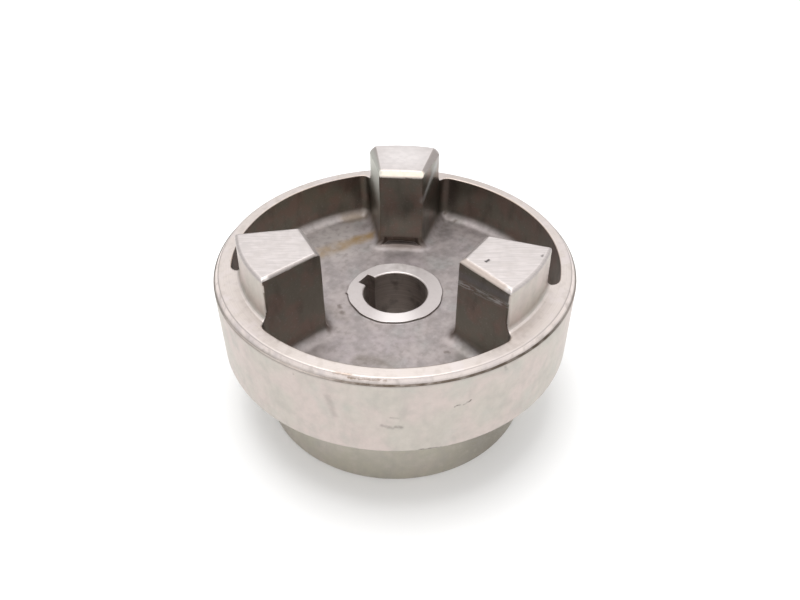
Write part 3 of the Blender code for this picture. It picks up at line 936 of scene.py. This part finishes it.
def hub_zones(points, quads, normals):
    """The number, in HUB_MATERIALS, of each face's material."""
    x, y, z = points[quads].mean(axis=1).T
    normal_x, normal_y, upward = normals[quads].mean(axis=1).T
    radius = np.hypot(x, y)
    outward = (normal_x * x + normal_y * y) / radius
    pocket_r = np.hypot(x - POCKET_SHIFT[0], y - POCKET_SHIFT[1])
    ring_r = np.hypot(x - RING_SHIFT[0], y - RING_SHIFT[1])
    by_key_screw = (y > 0) & (np.hypot(x, z - SCREW_Z) < HOLE_R + HOLE_CHAMFER)
    by_side_screw = (x > 0) & (np.hypot(y, z - SCREW_Z) < HOLE_R + HOLE_CHAMFER)

    rim_top = (z < RIM_Z + 0.25 * MM) & (upward > 0.6) & (radius > JAW_HEAD_R)
    rim_side = (z < RIM_Z + 0.05 * MM) & (pocket_r > POCKET_R + 1 * MM)
    rim = (z > step_height(x, y, radius)) & (rim_top | rim_side)
    ring = (z > FLOOR_Z + RING_ROOT_R) & (z < RING_Z + 0.3 * MM) & (ring_r < RING_R + RING_EDGE_R)
    jaw_outside = (outward > 0.5) & (radius > RELIEF_R + 1 * MM)
    cup = (z > INSIDE_Z) & (pocket_r < POCKET_R + 0.15 * MM) & ~jaw_outside
    jaw_top = (z > TOP_Z - JAW_FOOT_HEIGHT) & (upward > 0.3)
    in_width = np.abs(x) < KEYWAY_WIDTH / 2 + BORE_EDGE_R
    keyway = in_width & (y > 0) & (y < KEYWAY_BOTTOM_R + BORE_EDGE_R)
    bore = ((radius < BORE_R + 0.2 * MM) | keyway) & (upward < 0.9)
    hole = (by_key_screw | by_side_screw) & (radius < BOSS_R - 0.1 * MM) & (z < FLANGE_Z)
    boss_end = z < 0.1 * MM

    zone = np.full(len(quads), OUTER)
    zone[cup] = CUP
    zone[rim | ring | boss_end] = TURNED
    zone[jaw_top] = GROUND
    zone[bore | hole] = BORED
    return zone


def make_hub():
    points, quads = surface_net(*hub_grid())
    points, normals = settle(points)
    hub = mesh_piece("hub_casting", points.tolist(), quads.tolist())
    hub.data.normals_split_custom_set_from_vertices(normals.tolist())
    for make_material in HUB_MATERIALS:
        hub.data.materials.append(make_material())
    hub.data.polygons.foreach_set("material_index", hub_zones(points, quads, normals))
    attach(hub, "hub")
    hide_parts("hub")


# ---------------- set screws and hole threads

# How finely these are made: the points round each ring, the rings for each turn of a thread and
# down a socket, and the steps between the rings that a sleeve's plain outer skin needs.
RING_ANGLES = np.radians(np.arange(0, 360, 5))
AROUND = len(RING_ANGLES)
SCREW_RINGS_A_TURN = 14
SLEEVE_RINGS_A_TURN = 12
SOCKET_RINGS = 6
SLEEVE_SKIN_STEP = 40
SCREW_END_GAPS = (0.15 * MM, 0.05 * MM)
SHARP_ANGLE = 32.0


def thread_profile(height):
    """How far a 60 degree thread is cut round one ring: 0 on its crests and 1 at its roots."""
    phase = (height / THREAD_PITCH - RING_ANGLES / (2 * math.pi)) % 1
    return np.clip((np.abs(2 * phase - 1) - CREST_FLAT) / (1 - CREST_FLAT - ROOT_FLAT), 0, 1)


def ring_points(radius, height):
    """One ring of points round +Z. Its radius is one number, or one for each point."""
    points = np.full((AROUND, 3), float(height))
    points[:, 0] = radius * np.cos(RING_ANGLES)
    points[:, 1] = radius * np.sin(RING_ANGLES)
    return points


def loft_faces(rings, closed):
    """Quads between neighbouring rings, and from the last ring to the first if closed."""
    faces = []
    for ring in range(rings if closed else rings - 1):
        low, high = ring * AROUND, (ring + 1) % rings * AROUND
        for step in range(AROUND):
            after = (step + 1) % AROUND
            faces.append((low + step, low + after, high + after, high + step))
    return faces


def along_hole(name, points, faces, outward, start):
    """A piece whose own +Z points outward from the hub's axis, at the screws' height."""
    piece = mesh_piece(name, points.tolist(), faces)
    piece.data.set_sharp_from_angle(angle=math.radians(SHARP_ANGLE))
    piece.rotation_euler = outward.to_track_quat("Z", "X").to_euler()
    piece.location = outward * start + Vector((0, 0, SCREW_Z))
    return piece


def make_set_screw(name, node, outward, material):
    low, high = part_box(node)
    start, length = low.dot(outward), (high - low).dot(outward)
    sixth = math.pi / 3
    socket_r = SOCKET_HALF_WIDTH / np.cos((RING_ANGLES + sixth / 2) % sixth - sixth / 2)
    end_r = SCREW_R - SCREW_CHAMFER
    rings = [ring_points(POINT_CUP_R, 0), ring_points(POINT_R, 0)]
    first, last = SCREW_END_GAPS
    for height in np.arange(first, length - last, THREAD_PITCH / SCREW_RINGS_A_TURN):
        thread_r = SCREW_R - THREAD_DEPTH * thread_profile(height)
        point_r = POINT_R + (SCREW_R - POINT_R) * height / POINT_LENGTH
        rings.append(ring_points(np.minimum(thread_r, min(point_r, end_r + length - height)), height))
    rings.append(ring_points(end_r, length))
    rings.append(ring_points(socket_r + SOCKET_EDGE, length))
    rings.append(ring_points(socket_r, length - SOCKET_EDGE))
    for depth in np.linspace(0.2, 1, SOCKET_RINGS) * SOCKET_DEPTH:
        rings.append(ring_points(socket_r, length - depth))
    faces = loft_faces(len(rings), closed=False)
    cup_middle = (0, 0, POINT_CUP_DEPTH)
    socket_middle = (0, 0, length - SOCKET_DEPTH - SOCKET_CONE)
    points = np.concatenate([*rings, [cup_middle, socket_middle]])
    middle, last_ring = len(points) - 2, (len(rings) - 1) * AROUND
    for step in range(AROUND):
        after = (step + 1) % AROUND
        faces.append((after, step, middle))
        faces.append((last_ring + step, last_ring + after, middle + 1))
    screw = along_hole(name, points, faces, outward, start)
    screw.data.materials.append(material)
    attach(screw, node)
    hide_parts(node)


def make_hole_thread(name, outward, start, material):
    """The thread in a set screw's hole: a thin sleeve that is a part of the casting's surface."""
    length = SLEEVE_END - start
    heights = np.linspace(0, length, int(length / THREAD_PITCH * SLEEVE_RINGS_A_TURN))
    rings = []
    for height in heights:
        fade = min(1, height / THREAD_PITCH, (length - height) / THREAD_PITCH)
        standing = (HOLE_R - HOLE_THREAD_R) * (1 - thread_profile(height)) * fade
        rings.append(ring_points(HOLE_R - standing, height))
    rings += [ring_points(SLEEVE_R, height) for height in heights[::-SLEEVE_SKIN_STEP]]
    faces = [face[::-1] for face in loft_faces(len(rings), closed=True)]
    sleeve = along_hole(name, np.concatenate(rings), faces, outward, start)
    sleeve.data.materials.append(material)
    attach(sleeve, "hub")


# ---------------- stage, light and camera

CAMERA_DISTANCE = 158.75 * MM
CAMERA_HEIGHT = 162.0 * MM
CAMERA_AZIMUTH = -145.5
CAMERA_HEADING = 34.0
CAMERA_PITCH = 39.25
CAMERA_LENS = 30.78
SENSOR_WIDTH = 36.0
CAMERA_NEAR = 0.01

# The table, just under the hub so that the two never share a plane.
TABLE_HALF_SIZE = 3.0
TABLE_DROP = 0.02 * MM
TABLE_COLOR = (0.9, 0.9, 0.9, 1)
TABLE_ROUGHNESS = 0.6

# The surround's light as shares of white, each at the sine of its elevation: brightest at a middle
# height. Toward BRIGHT_SIDE it gains a share, up to that arrow's length. Then the lamp overhead.
SKY_LIGHT = ((0.0, 0.64), (0.35, 0.67), (0.72, 1.38), (0.88, 1.1), (1.0, 0.75))
BRIGHT_SIDE = (0.10, -0.14, 0.0)
LAMP_PLACE = (-0.01, 0.07, 0.8)
LAMP_SIZE = 0.45
LAMP_WATTS = 3.1


def make_camera():
    data = bpy.data.cameras.new("camera")
    data.lens = CAMERA_LENS
    data.sensor_width = SENSOR_WIDTH
    data.clip_start = CAMERA_NEAR
    camera = add_object("camera", data)
    azimuth = math.radians(CAMERA_AZIMUTH)
    camera.location.x = CAMERA_DISTANCE * math.cos(azimuth)
    camera.location.y = CAMERA_DISTANCE * math.sin(azimuth)
    camera.location.z = CAMERA_HEIGHT
    camera.rotation_euler = (math.radians(90 - CAMERA_PITCH), 0, math.radians(CAMERA_HEADING - 90))
    bpy.context.scene.camera = camera


def make_floor():
    size = TABLE_HALF_SIZE
    corners = [(-size, -size, 0), (size, -size, 0), (size, size, 0), (-size, size, 0)]
    floor = mesh_piece("floor", corners, [(0, 1, 2, 3)])
    floor.location.z = -TABLE_DROP
    material = bpy.data.materials.new("white_table")
    material.use_nodes = True
    shader = material.node_tree.nodes["Principled BSDF"]
    shader.inputs["Base Color"].default_value = TABLE_COLOR
    shader.inputs["Roughness"].default_value = TABLE_ROUGHNESS
    floor.data.materials.append(material)


def make_surround():
    """The light from all round. It only lights and reflects: the camera itself sees plain white."""
    world = bpy.data.worlds.new("studio")
    world.use_nodes = True
    bpy.context.scene.world = world
    sky = Nodes(world.node_tree)
    direction = sky.node("TexCoord").outputs["Generated"]
    height = sky.node("SeparateXYZ", Vector=direction).outputs["Z"]
    shade = sky.node("ValToRGB", Fac=height)
    stops = shade.color_ramp.elements
    while len(stops) < len(SKY_LIGHT):
        stops.new(0.5)
    brightest = max(light for _, light in SKY_LIGHT)
    for stop, (sine, light) in zip(stops, SKY_LIGHT):
        stop.position = sine
        stop.color = (light / brightest,) * 3 + (1,)
    light = sky.math("MULTIPLY", shade.outputs[0], brightest)
    side = sky.math("MAXIMUM", sky.vector("DOT_PRODUCT", direction, BRIGHT_SIDE), 0.0)
    light = sky.math("MULTIPLY_ADD", light, side, light)
    seen = sky.node("Mix")
    sky.put(sky.node("LightPath").outputs["Is Camera Ray"], seen.inputs[0])
    sky.put(light, seen.inputs[2])
    sky.put(1.0, seen.inputs[3])
    background = sky.tree.nodes["Background"]
    background.inputs["Color"].default_value = (1, 1, 1, 1)
    sky.put(seen.outputs[0], background.inputs["Strength"])
    bpy.context.scene.view_settings.view_transform = "Standard"


def make_lamp():
    lamp = bpy.data.lights.new("overhead_lamp", "AREA")
    lamp.shape = "DISK"
    lamp.size = LAMP_SIZE
    lamp.energy = LAMP_WATTS
    overhead = add_object("overhead_lamp", lamp)
    overhead.location = LAMP_PLACE
    overhead.rotation_euler = Vector(LAMP_PLACE).to_track_quat("Z", "Y").to_euler()


make_hub()
toward_key_screw, toward_side_screw = Vector((0, 1, 0)), Vector((1, 0, 0))
steel, thread = black_steel(), bored_face()
make_set_screw("key_screw_steel", "key_set_screw", toward_key_screw, steel)
make_set_screw("side_screw_steel", "side_set_screw", toward_side_screw, steel)
make_hole_thread("key_hole_thread", toward_key_screw, KEY_SLEEVE_START, thread)
make_hole_thread("side_hole_thread", toward_side_screw, SIDE_SLEEVE_START, thread)
make_camera()
make_floor()
make_surround()
make_lamp()
